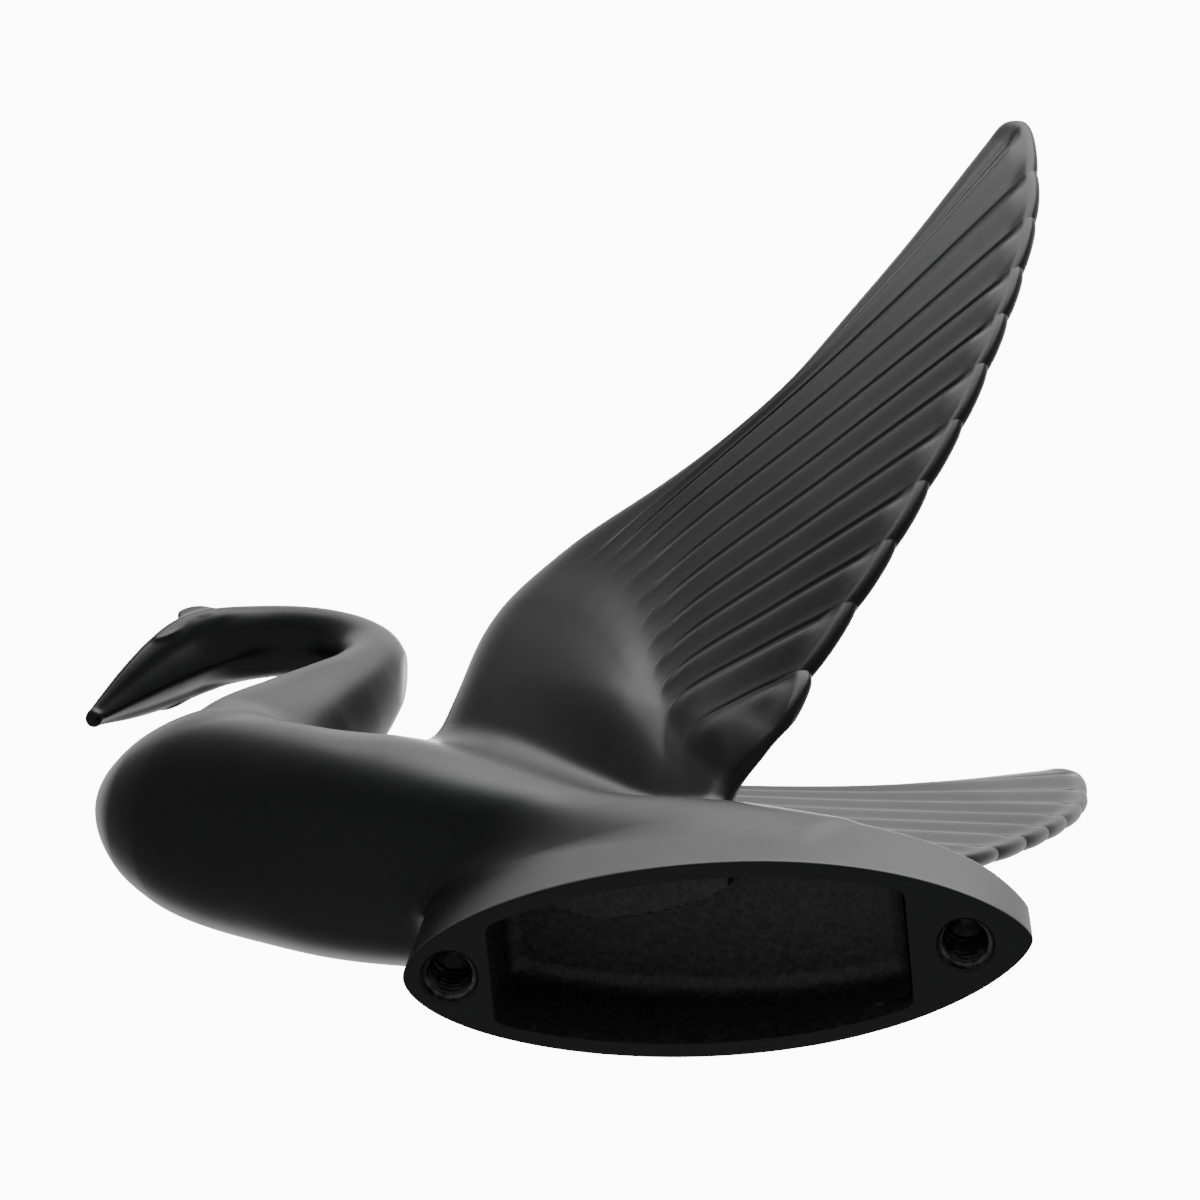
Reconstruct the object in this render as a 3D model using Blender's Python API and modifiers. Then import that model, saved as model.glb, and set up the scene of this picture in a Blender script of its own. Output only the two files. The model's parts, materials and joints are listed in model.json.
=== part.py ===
"""Cast swan hood ornament: body casting, two plugged-in wing castings and the steel dowels that hold them."""
import math

import bmesh
import bpy
import numpy as np
from mathutils import Matrix, Vector

MM = 0.001

# ---- driving dimensions, millimetres; +X is the rear of the bird, +Y its right, +Z up ----
HOLE_SPACING = 76.2          # two mounting threads, centre to centre
HOLE_MAJOR = 7.94            # 5/16-18 thread, major diameter
HOLE_MINOR = 6.75
HOLE_DEPTH = 12.0
BASE_FRONT = -44.9           # front tip of the foot
BASE_REAR = 47.8             # rear tip of the foot
BASE_HALF_WIDTH = 15.25
FOOT_DRAFT = 0.065           # the side wall leans in this much for each unit of height
TIP_BLUNT = 0.12             # how much is taken off the two pointed ends
POCKET_FRONT = -32.1
POCKET_REAR = 29.9
POCKET_RIM = 2.4
POCKET_DEPTH = 19.0
JOINT_GAP = 0.3
SHIFT_X = 27.97              # puts the middle of the overall box on the origin

# bird body: axis x, axis z, half width, half height, nose to tail
HULL = [
    (-99.2, 81.4, 1.5, 1.5),
    (-98.2, 80.5, 4.6, 4.6),
    (-95.6, 78.9, 8.6, 8.6),
    (-91.0, 76.2, 12.8, 12.8),
    (-84.8, 72.6, 15.8, 15.8),
    (-77.5, 68.0, 17.2, 17.2),
    (-68.0, 61.5, 17.6, 17.8),
    (-57.0, 54.2, 17.4, 18.0),
    (-45.0, 47.6, 16.4, 17.4),
    (-32.0, 41.0, 14.8, 16.0),
    (-18.0, 33.8, 13.4, 14.4),
    (-2.0, 25.5, 12.2, 12.6),
    (14.0, 17.6, 10.4, 10.2),
]
# neck and head: axis x, axis z, half width, half thickness, from inside the breast to the bill
NECK = [
    (-77.0, 66.0, 15.6, 16.0),
    (-78.8, 79.0, 15.0, 15.8),
    (-76.2, 91.0, 12.9, 13.8),
    (-71.2, 102.0, 10.9, 11.2),
    (-66.2, 112.0, 9.4, 8.8),
    (-62.8, 121.0, 7.8, 7.0),
    (-61.3, 130.0, 6.5, 6.1),
    (-62.7, 138.2, 6.0, 5.9),
    (-67.2, 144.8, 5.8, 6.0),
    (-73.6, 148.6, 6.0, 6.2),
    (-81.0, 149.8, 6.2, 6.5),
    (-87.4, 147.9, 6.7, 6.7),
    (-92.4, 143.3, 6.6, 5.9),
    (-96.6, 136.7, 5.6, 4.6),
    (-100.6, 129.2, 4.0, 3.2),
    (-104.0, 122.4, 2.4, 2.0),
    (-105.9, 118.4, 1.3, 1.2),
]
EYE_CENTRE = (-90.2, 0.0, 147.6)
EYE_RADIUS = 2.6
EYE_REACH = 7.3              # how far the flat eye bosses stand out either side
# height of the foot wall and of the back ridge along the foot: x, wall z, ridge z
FOOT_TOP = [
    (-44.9, 16.0, 26.0),
    (-36.0, 18.5, 33.0),
    (-20.0, 20.0, 40.0),
    (0.0, 20.5, 41.0),
    (14.0, 20.0, 33.5),
    (28.0, 19.0, 25.4),
    (40.0, 17.0, 19.4),
    (47.8, 12.0, 13.5),
]
# wing lines, leading edge first: root, lower middle, start of the feathers, middle, feather end (x, z)
WING_LINES = [
    ((-49.0, 62.0), (-41.4, 101.0), (-27.8, 127.8), (9.6, 159.2), (43.4, 218.2)),
    ((-44.0, 59.0), (-36.0, 98.0), (-18.5, 123.6), (14.8, 161.6), (48.7, 214.6)),
    ((-39.0, 56.5), (-31.5, 94.0), (-16.0, 121.2), (16.0, 157.0), (49.8, 198.0)),
    ((-34.0, 54.0), (-27.5, 90.0), (-14.0, 117.8), (17.2, 149.5), (49.4, 183.0)),
    ((-30.0, 51.5), (-24.0, 85.5), (-12.2, 112.5), (17.0, 140.5), (47.2, 168.3)),
    ((-26.0, 49.0), (-21.0, 80.5), (-10.5, 106.0), (16.6, 131.0), (44.6, 155.2)),
    ((-22.0, 46.5), (-18.0, 75.0), (-9.6, 99.5), (15.4, 121.5), (41.3, 141.8)),
    ((-18.0, 44.0), (-15.0, 69.0), (-8.8, 92.0), (13.6, 110.5), (37.2, 127.1)),
    ((-14.0, 41.5), (-12.5, 63.5), (-8.2, 84.6), (11.2, 99.5), (31.8, 112.1)),
    ((-10.0, 38.5), (-10.0, 58.0), (-7.4, 77.4), (8.9, 88.8), (26.6, 97.9)),
    ((-6.0, 35.5), (-7.5, 52.5), (-6.7, 69.6), (6.2, 77.9), (20.4, 83.6)),
    ((-2.0, 33.0), (-4.0, 46.5), (-4.0, 60.0), (4.4, 66.0), (13.4, 68.4)),
    ((2.0, 30.0), (1.6, 38.0), (3.0, 45.6), (7.2, 51.0), (11.2, 57.0)),
]
FEATHERS = len(WING_LINES) - 1
SCALLOP = 1.6                # how far each feather end stands out past the notches
# wing thickness from root (0) to feather ends (1)
WING_THICKNESS = [(0.0, 9.0), (0.2, 9.0), (0.35, 7.0), (0.5, 4.3), (0.75, 2.6), (1.0, 1.6)]
WING_EDGE = 0.9              # thickness left at the rounded edges
FRONT_ROUNDING = 0.10        # share of the wing's width taken by each rounded edge
REAR_ROUNDING = 0.06
RIB_HEIGHT = 0.75
RIB_START = (0.42, 0.56)     # the ribs rise between these shares of the wing's length
# across one feather: phase, share of the rib height
RIB_PROFILE = [(0.0, 0.0), (0.28, 0.15), (0.5, 1.0), (0.72, 0.15)]
# mid surface of the wing: y = PLANE[0] + PLANE[1] * x + PLANE[2] * z
WING_PLANE = (-0.4, 0.262, 0.218)
# joint plane between wing and body: passes through this point, across the wing
JOINT_POINT = (-22.0, 66.0)
JOINT_DIRECTION = (47.5, -34.0)
JOINT_TOOL = (120.0, 60.0, 80.0)      # block that parts wing from stub, along, through and up the wing
TENON = (16.0, 3.4, 7.0)              # along, through and down into the body
TENON_PLAY = 0.3                      # room round the tenon in its socket
TENON_FLOOR = 0.5                     # room under the tenon
TENON_ROOT = 2.0                      # how far the tenon's block starts inside its wing
DOWEL_RADIUS = 1.5
DOWEL_LENGTH = 14.0
DOWEL_PLAY = 0.25
DOWEL_RUN = {"front": -13.0, "rear": 13.0}
DOWEL_BEVEL = 0.25
THREAD_MOUTH = 0.8                    # depth of the wider mouth of each mounting thread
POCKET_SWELL = 2.0                    # how far the pocket's roof rises in the middle
POCKET_FALL = 7.0                     # how far the roof comes down from front to rear


# ------------------------------------------------------------------ helpers
def clear_scene():
    for obj in list(bpy.data.objects):
        bpy.data.objects.remove(obj, do_unlink=True)
    for block in (bpy.data.meshes, bpy.data.curves, bpy.data.materials, bpy.data.collections):
        for item in list(block):
            block.remove(item)


def make_material(name, colour, roughness, metallic):
    material = bpy.data.materials.new(name)
    material.use_nodes = True
    shader = material.node_tree.nodes["Principled BSDF"]
    shader.inputs["Base Color"].default_value = (*colour, 1.0)
    shader.inputs["Roughness"].default_value = roughness
    shader.inputs["Metallic"].default_value = metallic
    material.diffuse_color = (*colour, 1.0)
    return material


def add_object(name, vertices, faces, collection, smooth=True):
    """Millimetre vertices and faces into a named object, normals facing out."""
    mesh = bpy.data.meshes.new(name)
    mesh.from_pydata([tuple(c * MM for c in v) for v in vertices], [], faces)
    obj = bpy.data.objects.new(name, mesh)
    collection.objects.link(obj)
    work = bmesh.new()
    work.from_mesh(mesh)
    bmesh.ops.recalc_face_normals(work, faces=work.faces)
    work.to_mesh(mesh)
    work.free()
    if smooth:
        mesh.polygons.foreach_set("use_smooth", [True] * len(mesh.polygons))
    return obj


def spline(points, count):
    """Catmull-Rom samples through rows of numbers."""
    rows = np.array(points, float)
    rows = np.vstack([2 * rows[0] - rows[1], rows, 2 * rows[-1] - rows[-2]])
    out = []
    spans = len(points) - 1
    for k in range(count):
        u = k / (count - 1) * spans
        i = min(int(u), spans - 1)
        f = u - i
        p0, p1, p2, p3 = rows[i:i + 4]
        out.append(0.5 * (2 * p1 + (p2 - p0) * f + (2 * p0 - 5 * p1 + 4 * p2 - p3) * f * f
                          + (3 * p1 - p0 - 3 * p2 + p3) * f ** 3))
    return np.array(out)


def loft(rings):
    """Closed loft through rings of equal vertex count, flat ends."""
    n = len(rings[0])
    vertices = [tuple(v) for ring in rings for v in ring]
    faces = []
    for r in range(len(rings) - 1):
        for i in range(n):
            j = (i + 1) % n
            faces.append((r * n + i, r * n + j, (r + 1) * n + j, (r + 1) * n + i))
    faces.append(tuple(reversed(range(n))))
    last = (len(rings) - 1) * n
    faces.append(tuple(last + i for i in range(n)))
    return vertices, faces


def tube(table, stations, around):
    """Elliptical sections set square to an axis that lies in the mirror plane."""
    rows = spline(table, stations)
    axis = rows[:, :2]
    tangent = np.gradient(axis, axis=0)
    tangent /= np.linalg.norm(tangent, axis=1)[:, None]
    rings = []
    for (x, z, a, b), (tx, tz) in zip(rows, tangent):
        a = max(a, 0.6)
        b = max(b, 0.6)
        ring = []
        for k in range(around):
            angle = 2 * math.pi * (k + 0.5) / around
            side = a * math.cos(angle)
            rise = b * math.sin(angle)
            ring.append((x - tz * rise, side, z + tx * rise))
        rings.append(ring)
    return loft(rings)


def foot_half_width(x):
    """Pointed oval plan of the foot."""
    u = (x - BASE_FRONT) / (BASE_REAR - BASE_FRONT)
    u = min(max(u, 0.0), 1.0)
    fullness = 0.56 + 0.10 * u
    return BASE_HALF_WIDTH * (4 * u * (1 - u)) ** fullness


def foot_stations(count):
    return [BASE_FRONT + (BASE_REAR - BASE_FRONT) * 0.5 * (1 - math.cos(math.pi * k / (count - 1)))
            for k in range(count)]


def modify(obj, kind, **settings):
    modifier = obj.modifiers.new(kind.title(), kind)
    for key, value in settings.items():
        setattr(modifier, key, value)
    return modifier


def cut(target, cutter, operation):
    modify(target, "BOOLEAN", operation=operation, solver="EXACT", object=cutter)


def as_cutter(obj):
    obj.hide_render = True
    obj.display_type = "WIRE"
    return obj


def cylinder(name, radius, length, centre, direction, collection, sides=32):
    """Round bar about a centre point, along a direction, in millimetres."""
    bpy.ops.mesh.primitive_cylinder_add(vertices=sides, radius=radius * MM, depth=length * MM)
    obj = bpy.context.object
    for old in list(obj.users_collection):
        old.objects.unlink(obj)
    collection.objects.link(obj)
    obj.name = name
    obj.data.name = name
    obj.location = Vector(centre) * MM
    obj.rotation_mode = "QUATERNION"
    obj.rotation_quaternion = Vector(direction).to_track_quat("Z", "Y")
    return obj


def block(name, size, centre, axes, collection):
    """Box of a given size on three axes, in millimetres."""
    bpy.ops.mesh.primitive_cube_add(size=1.0)
    obj = bpy.context.object
    for old in list(obj.users_collection):
        old.objects.unlink(obj)
    collection.objects.link(obj)
    obj.name = name
    obj.data.name = name
    obj.data.transform(Matrix.Diagonal((size[0] * MM, size[1] * MM, size[2] * MM, 1.0)))
    frame = Matrix([axes[0], axes[1], axes[2]]).transposed().to_4x4()
    frame.translation = Vector(centre) * MM
    obj.matrix_world = frame
    return obj


# ------------------------------------------------------------------ body casting
def foot_section(x):
    """Half outline of one cross section of the foot, from the base up to its ridge, and the ridge height."""
    stations, walls, ridges = zip(*FOOT_TOP)
    wall = np.interp(x, stations, walls)
    ridge = np.interp(x, stations, ridges)
    width = max(foot_half_width(x), 0.7)
    upper = max(width - FOOT_DRAFT * wall, 0.5)
    side = [(width, 0.0), ((width + upper) / 2, wall / 2), (upper, wall)]
    for angle in (22, 45, 67):
        a = math.radians(angle)
        side.append((upper * math.cos(a), wall + (ridge - wall) * math.sin(a)))
    return side, ridge


def foot_loft():
    rings = []
    for x in [BASE_FRONT + TIP_BLUNT] + foot_stations(25)[1:-1] + [BASE_REAR - TIP_BLUNT]:
        side, ridge = foot_section(x)
        ring = [(x, y, z) for y, z in side]
        ring.append((x, 0.0, ridge))
        ring += [(x, -y, z) for y, z in reversed(side)]
        rings.append(ring)
    return loft(rings)


def pocket_loft():
    """Hollow underside: sides follow the foot plan, straight ends, roof falling to the rear."""
    rings = []
    for x in np.linspace(POCKET_FRONT, POCKET_REAR, 13):
        width = foot_half_width(x) - POCKET_RIM
        f = (x - POCKET_FRONT) / (POCKET_REAR - POCKET_FRONT)
        roof = POCKET_DEPTH + POCKET_SWELL * math.sin(math.pi * f) - POCKET_FALL * f
        half = [(width + 0.1, -1.0), (width - 0.5, roof - 4.0), (width - 2.0, roof - 1.0), (width - 5.0, roof)]
        ring = [(x, y, z) for y, z in half]
        ring += [(x, -y, z) for y, z in reversed(half)]
        rings.append(ring)
    return loft(rings)


# ------------------------------------------------------------------ wings
def wing_frame():
    """Outward unit normal of the right wing, unit vector along the joint, unit vector up the wing."""
    normal = Vector((-WING_PLANE[1], 1.0, -WING_PLANE[2])).normalized()
    run = Vector((JOINT_DIRECTION[0], 0.0, JOINT_DIRECTION[1]))
    run.y = WING_PLANE[1] * run.x + WING_PLANE[2] * run.z
    run.normalize()
    up = normal.cross(run)
    if up.z < 0:
        up = -up
    return normal, run, up


def on_wing(x, z):
    """Point of the mid surface of the right wing."""
    return Vector((x, WING_PLANE[0] + WING_PLANE[1] * x + WING_PLANE[2] * z, z))


def wing_thickness(s, t):
    shares, sizes = zip(*WING_THICKNESS)
    along = np.interp(s, shares, sizes)
    front = min(t / FRONT_ROUNDING, 1.0)
    rear = min((1.0 - t) / REAR_ROUNDING, 1.0)
    round_front = math.sqrt(max(1.0 - (1.0 - front) ** 2, 0.0))
    round_rear = math.sqrt(max(1.0 - (1.0 - rear) ** 2, 0.0))
    return max(along * round_front * round_rear, WING_EDGE)


def wing_loft(rows=13):
    """Closed shell of the right wing: ribbed outer and inner skins, scalloped feather ends."""
    normal = wing_frame()[0]
    lines = []
    for feather in range(FEATHERS):
        for phase, crest in RIB_PROFILE:
            lines.append((feather + phase, crest, phase))
    lines.append((float(FEATHERS), 0.0, 0.0))
    table = np.array(WING_LINES).reshape(len(WING_LINES), -1)
    outer = []
    inner = []
    for position, height, phase in lines:
        i = min(int(position), FEATHERS - 1)
        f = position - i
        keys = (table[i] * (1 - f) + table[i + 1] * f).reshape(5, 2)
        path = spline(keys, rows)
        tip = path[-1] - path[-2]
        tip /= np.linalg.norm(tip)
        path[-1] = path[-1] + tip * SCALLOP * math.sin(math.pi * phase)
        t = position / FEATHERS
        outer_line = []
        inner_line = []
        for k, (x, z) in enumerate(path):
            s = k / (rows - 1)
            fade = min(max((s - RIB_START[0]) / (RIB_START[1] - RIB_START[0]), 0.0), 1.0)
            half = 0.5 * wing_thickness(s, t)
            ridge = RIB_HEIGHT * height * fade
            centre = on_wing(x, z)
            outer_line.append(centre + normal * (half + ridge))
            inner_line.append(centre - normal * (half + ridge))
        outer.append(outer_line)
        inner.append(inner_line)
    columns = len(lines)
    vertices = [p for line in outer for p in line] + [p for line in inner for p in line]
    shift = columns * rows
    faces = []
    for c in range(columns - 1):
        for r in range(rows - 1):
            a = c * rows + r
            b = (c + 1) * rows + r
            faces.append((a, b, b + 1, a + 1))
            faces.append((shift + a, shift + a + 1, shift + b + 1, shift + b))
    edge = [c * rows for c in range(columns)]
    edge += [(columns - 1) * rows + r for r in range(1, rows)]
    edge += [c * rows + rows - 1 for c in range(columns - 2, -1, -1)]
    edge += [r for r in range(rows - 2, 0, -1)]
    for k, a in enumerate(edge):
        b = edge[(k + 1) % len(edge)]
        faces.append((a, shift + a, shift + b, b))
    return vertices, faces


def mirrored(points, sign):
    return [(p[0], p[1] * sign, p[2]) for p in points]


def joint_point(offset_run, offset_up, sign=1.0, offset_normal=0.0):
    normal, run, up = wing_frame()
    point = on_wing(*JOINT_POINT) + run * offset_run + up * offset_up + normal * offset_normal
    return Vector((point.x, point.y * sign, point.z))


def joint_axes(sign):
    normal, run, up = wing_frame()
    return [Vector((v.x, v.y * sign, v.z)) for v in (run, normal * sign, up)]


def main():
    clear_scene()
    scene = bpy.context.scene
    body_set = bpy.data.collections.new("swan_hood_ornament")
    tool_set = bpy.data.collections.new("cutters")
    scene.collection.children.link(body_set)
    scene.collection.children.link(tool_set)

    coat = make_material("satin_black_body", (0.016, 0.016, 0.017), 0.45, 0.0)
    left_coat = make_material("satin_black_left_wing", (0.016, 0.016, 0.017), 0.45, 0.0)
    right_coat = make_material("satin_black_right_wing", (0.016, 0.016, 0.017), 0.45, 0.0)
    steel = make_material("dowel_steel", (0.45, 0.45, 0.46), 0.35, 1.0)

    # body casting: foot, hull, neck with head, and the two wing stubs in one metal
    body = add_object("body_casting", *foot_loft(), body_set)
    hull = as_cutter(add_object("hull_form", *tube(HULL, 24, 20), tool_set))
    neck = as_cutter(add_object("neck_form", *tube(NECK, 33, 18), tool_set))
    cut(body, hull, "UNION")
    cut(body, neck, "UNION")
    eyes = as_cutter(cylinder("eye_bosses", EYE_RADIUS, 2 * EYE_REACH, EYE_CENTRE, (0, 1, 0), tool_set, 20))
    cut(body, eyes, "UNION")

    wing_vertices, wing_faces = wing_loft()
    wings = {}
    for side, sign, material in (("left", -1.0, left_coat), ("right", 1.0, right_coat)):
        points = mirrored(wing_vertices, sign)
        wing = add_object(side + "_wing", points, wing_faces, body_set)
        stub = as_cutter(add_object(side + "_stub_form", points, wing_faces, tool_set))
        wing.data.materials.append(material)
        wings[side] = wing
        axes = joint_axes(sign)
        # the stub keeps what lies below the joint, the wing what lies above it
        drop = JOINT_TOOL[2] / 2
        below = block(side + "_below", JOINT_TOOL, joint_point(0, -drop - JOINT_GAP / 2, sign), axes, tool_set)
        above = block(side + "_above", JOINT_TOOL, joint_point(0, -drop + JOINT_GAP / 2, sign), axes, tool_set)
        as_cutter(below)
        as_cutter(above)
        cut(stub, below, "INTERSECT")
        cut(body, stub, "UNION")
        cut(wing, above, "DIFFERENCE")
        # tenon on the wing, socket in the body
        tenon = block(side + "_tenon", (TENON[0], TENON[1], TENON[2] + TENON_ROOT),
                      joint_point(0, (TENON_ROOT - TENON[2]) / 2, sign), axes, tool_set)
        as_cutter(tenon)
        cut(wing, tenon, "UNION")
        socket_size = (TENON[0] + 2 * TENON_PLAY, TENON[1] + 2 * TENON_PLAY, TENON[2] + TENON_FLOOR + TENON_ROOT)
        socket = block(side + "_socket", socket_size,
                       joint_point(0, (TENON_ROOT - TENON[2] - TENON_FLOOR) / 2, sign), axes, tool_set)
        as_cutter(socket)
        cut(body, socket, "DIFFERENCE")
        for place, run in DOWEL_RUN.items():
            hole = cylinder(side + "_" + place + "_dowel_hole", DOWEL_RADIUS + DOWEL_PLAY, DOWEL_LENGTH + 1.0,
                            joint_point(run, 0, sign), axes[2], tool_set, 20)
            as_cutter(hole)
            cut(body, hole, "DIFFERENCE")
            cut(wing, hole, "DIFFERENCE")
            dowel = cylinder(side + "_" + place + "_dowel", DOWEL_RADIUS, DOWEL_LENGTH,
                             joint_point(run, 0, sign), axes[2], body_set, 20)
            dowel.data.materials.append(steel)
            modify(dowel, "BEVEL", width=DOWEL_BEVEL * MM, segments=1, limit_method="ANGLE")

    # pocket and the two mounting threads, opened last
    pocket = as_cutter(add_object("pocket_form", *pocket_loft(), tool_set))
    cut(body, pocket, "DIFFERENCE")
    for place, sign in (("front", -1.0), ("rear", 1.0)):
        base = (sign * HOLE_SPACING / 2, 0.0, 0.0)
        bore = cylinder(place + "_thread_bore", HOLE_MINOR / 2, 2 * HOLE_DEPTH, base, (0, 0, 1), tool_set, 28)
        as_cutter(bore)
        cut(body, bore, "DIFFERENCE")
        mouth = cylinder(place + "_thread_mouth", HOLE_MAJOR / 2, 2 * THREAD_MOUTH, base, (0, 0, 1), tool_set, 28)
        as_cutter(mouth)
        cut(body, mouth, "DIFFERENCE")
    body.data.materials.append(coat)

    for obj in list(body_set.objects) + list(tool_set.objects):
        obj.location.x += SHIFT_X * MM


main()
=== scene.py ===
"""Looks of the cast swan hood ornament: soft blended casting, ribbed wings, threaded foot, satin black coat.

Shapes are worked out in millimetres, measured from midway between the two mounting threads:
-X the way the bird flies, +Y its right, +Z up. They go into the row frame when the meshes are made.
"""
import json
import math

import bmesh
import bpy
import numpy as np
from mathutils import Matrix, Vector
from mathutils.bvhtree import BVHTree
from mathutils.geometry import delaunay_2d_cdt


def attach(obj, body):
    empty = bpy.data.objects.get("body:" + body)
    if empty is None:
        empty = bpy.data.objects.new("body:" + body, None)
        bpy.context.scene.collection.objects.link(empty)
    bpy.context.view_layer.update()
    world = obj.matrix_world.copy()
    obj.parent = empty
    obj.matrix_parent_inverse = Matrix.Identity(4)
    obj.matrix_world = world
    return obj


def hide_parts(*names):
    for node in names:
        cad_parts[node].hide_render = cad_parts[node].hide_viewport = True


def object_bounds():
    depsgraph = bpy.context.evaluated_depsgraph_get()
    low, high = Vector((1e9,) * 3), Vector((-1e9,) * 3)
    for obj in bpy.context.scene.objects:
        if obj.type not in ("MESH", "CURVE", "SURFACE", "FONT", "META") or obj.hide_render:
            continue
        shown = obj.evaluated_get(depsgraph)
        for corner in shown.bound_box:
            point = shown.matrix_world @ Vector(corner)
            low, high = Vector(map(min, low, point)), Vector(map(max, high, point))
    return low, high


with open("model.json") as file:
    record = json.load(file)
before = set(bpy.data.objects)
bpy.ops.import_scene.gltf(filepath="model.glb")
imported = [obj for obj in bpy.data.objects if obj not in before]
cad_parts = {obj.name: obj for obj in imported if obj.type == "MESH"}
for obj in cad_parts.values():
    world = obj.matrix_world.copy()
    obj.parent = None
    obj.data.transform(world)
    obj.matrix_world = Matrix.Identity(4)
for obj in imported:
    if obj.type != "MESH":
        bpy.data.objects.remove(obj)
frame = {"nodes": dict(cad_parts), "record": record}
CAD_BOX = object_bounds()

MM = 0.001
MOUNTS = {mount["name"]: mount for mount in frame["record"]["mounts"]}
ORIGIN_X = MOUNTS["hood_studs"]["pos_m"][0] / MM

# ---- foot ----
HOLE_SPACING = 76.2
HOLE_MAJOR = 7.94
HOLE_MINOR = 6.75
HOLE_DEPTH = 11.5
HOLE_CHAMFER = 0.42
THREAD_START = 1.5           # height of the first turn
THREAD_END = 1.6             # room between the last turn and the hole's depth
PITCH = 25.4 / 18            # 18 threads to the inch
BASE_FRONT = -45.1
BASE_REAR = 48.1
BASE_HALF_WIDTH = 15.45
FOOT_DRAFT = 0.065
FOOT_CUT = 7.0               # below this height the foot is built ring by ring
RIM_CHAMFER = 0.55
POCKET_FRONT = -32.1
POCKET_REAR = 29.9
POCKET_RIM = 2.4
POCKET_CORNER = 1.1          # radius in plan
POCKET_DEPTH = 19.0
POCKET_SWELL = 2.0           # how far the roof rises in the middle
POCKET_FALL = 7.0            # how far the roof comes down from front to rear
POCKET_SPAN = 56             # points across the pocket at each end wall
POCKET_SIDE = 128            # and along each side
# edge of the ledge in the roof: x, distance to the left of the middle
LEDGE_EDGE = [(-32.0, 8.4), (-27.2, 5.4), (-17.9, 1.5), (-11.0, 1.6), (-5.1, 2.6), (0.0, 4.0), (3.3, 5.6),
              (6.0, 16.0)]
LEDGE_DROP = 5.5
LEDGE_SLOPE = 1.1            # width of the slope from the roof down to the ledge

# ---- sections: axis x, axis z, half width, half height ----
HULL = [
    (-98.7, 81.2, 0.9, 0.9), (-97.8, 80.4, 4.3, 4.3), (-95.1, 78.7, 8.4, 8.4),
    (-90.7, 76.1, 12.4, 12.4), (-84.6, 72.6, 15.3, 15.3), (-77.5, 68.2, 16.7, 16.8),
    (-68.0, 61.7, 17.2, 17.4), (-57.0, 54.3, 17.2, 17.8), (-45.0, 47.6, 16.4, 17.4),
    (-32.0, 41.0, 14.8, 16.0), (-18.0, 33.8, 13.4, 14.4), (-2.0, 25.5, 12.2, 12.6),
    (14.0, 17.6, 10.4, 10.2),
]
NECK = [
    (-72.5, 61.0, 2.0, 2.0), (-74.5, 66.0, 6.0, 6.0), (-76.8, 72.0, 10.4, 10.5),
    (-78.2, 79.0, 13.4, 13.8), (-76.2, 91.0, 12.6, 13.3), (-71.2, 102.0, 10.9, 11.2),
    (-66.2, 112.0, 9.4, 8.8), (-62.8, 121.0, 7.8, 7.0), (-61.3, 130.0, 6.5, 6.1),
    (-62.7, 138.2, 5.7, 5.9), (-67.2, 144.8, 5.4, 6.0), (-73.6, 148.6, 5.6, 6.2),
    (-81.0, 149.8, 5.9, 6.5), (-87.4, 147.9, 6.5, 6.7), (-92.4, 143.3, 6.7, 5.9),
    (-96.6, 136.7, 5.9, 4.6), (-100.6, 129.2, 4.3, 3.2), (-104.0, 122.4, 2.4, 2.0),
    (-105.9, 118.4, 1.3, 1.2),
]
KEEL_START = 0.66            # share of the neck's stations where the underside turns into a keel
KEEL_FULL = 0.79
HEAD_FLARE = 0.12            # the cheeks are this much wider over the keel,
HEAD_TAPER = 0.32            # and the jaw this much narrower under them
EYE_CENTRE = (-91.8, 148.9)
EYE_RADIUS = 3.0
EYE_REACH = 6.5              # the flat of the eye boss, from the mirror plane
BILL_DIRECTION = (-0.52, -0.854)
NOSTRIL_CENTRE = (-95.3, 140.4)
NOSTRIL_HALF = (3.4, 1.15)   # along the bill and across it
NOSTRIL_REACH = 6.35
BILL_TIP = (-105.7, 0.0, 118.8)
BILL_TIP_RADIUS = 1.45
# x, height of the side wall, height of the ridge above it
FOOT_TOP = [
    (-44.9, 16.0, 26.0), (-36.0, 18.5, 33.0), (-20.0, 20.0, 40.0),
    (0.0, 20.5, 41.0), (14.0, 20.0, 33.5), (28.0, 19.0, 25.4),
    (40.0, 17.0, 19.4), (47.8, 12.0, 13.5),
]

# ---- wings ----
# lines from the leading edge to the rear, each with five points (x, z) from root to feather end
WING_LINES = [
    ((-49.0, 62.0), (-41.4, 101.0), (-26.9, 127.0), (10.3, 158.9), (44.0, 217.8)),
    ((-44.0, 59.0), (-36.0, 98.0), (-18.5, 123.6), (14.8, 161.6), (48.7, 214.6)),
    ((-39.0, 56.5), (-31.5, 94.0), (-16.0, 121.2), (16.0, 157.0), (49.8, 198.0)),
    ((-34.0, 54.0), (-27.5, 90.0), (-14.0, 117.8), (17.2, 149.5), (49.4, 183.0)),
    ((-30.0, 51.5), (-24.0, 85.5), (-12.2, 112.5), (17.0, 140.5), (47.2, 168.3)),
    ((-26.0, 49.0), (-21.0, 80.5), (-10.5, 106.0), (16.6, 131.0), (44.6, 155.2)),
    ((-22.0, 46.5), (-18.0, 75.0), (-9.6, 99.5), (15.4, 121.5), (41.3, 141.8)),
    ((-18.0, 44.0), (-15.0, 69.0), (-8.8, 92.0), (13.6, 110.5), (37.2, 127.1)),
    ((-14.0, 41.5), (-12.5, 63.5), (-8.2, 84.6), (11.2, 99.5), (31.8, 112.1)),
    ((-10.0, 38.5), (-10.0, 58.0), (-7.4, 77.4), (8.9, 88.8), (26.6, 97.9)),
    ((-6.0, 35.5), (-7.5, 52.5), (-6.7, 69.6), (6.2, 77.9), (20.4, 83.6)),
    ((-2.0, 33.0), (-4.0, 46.5), (-4.0, 60.0), (4.4, 66.0), (13.4, 68.4)),
    ((2.0, 30.0), (1.6, 38.0), (3.0, 45.6), (7.2, 51.0), (11.2, 57.0)),
]
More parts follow.
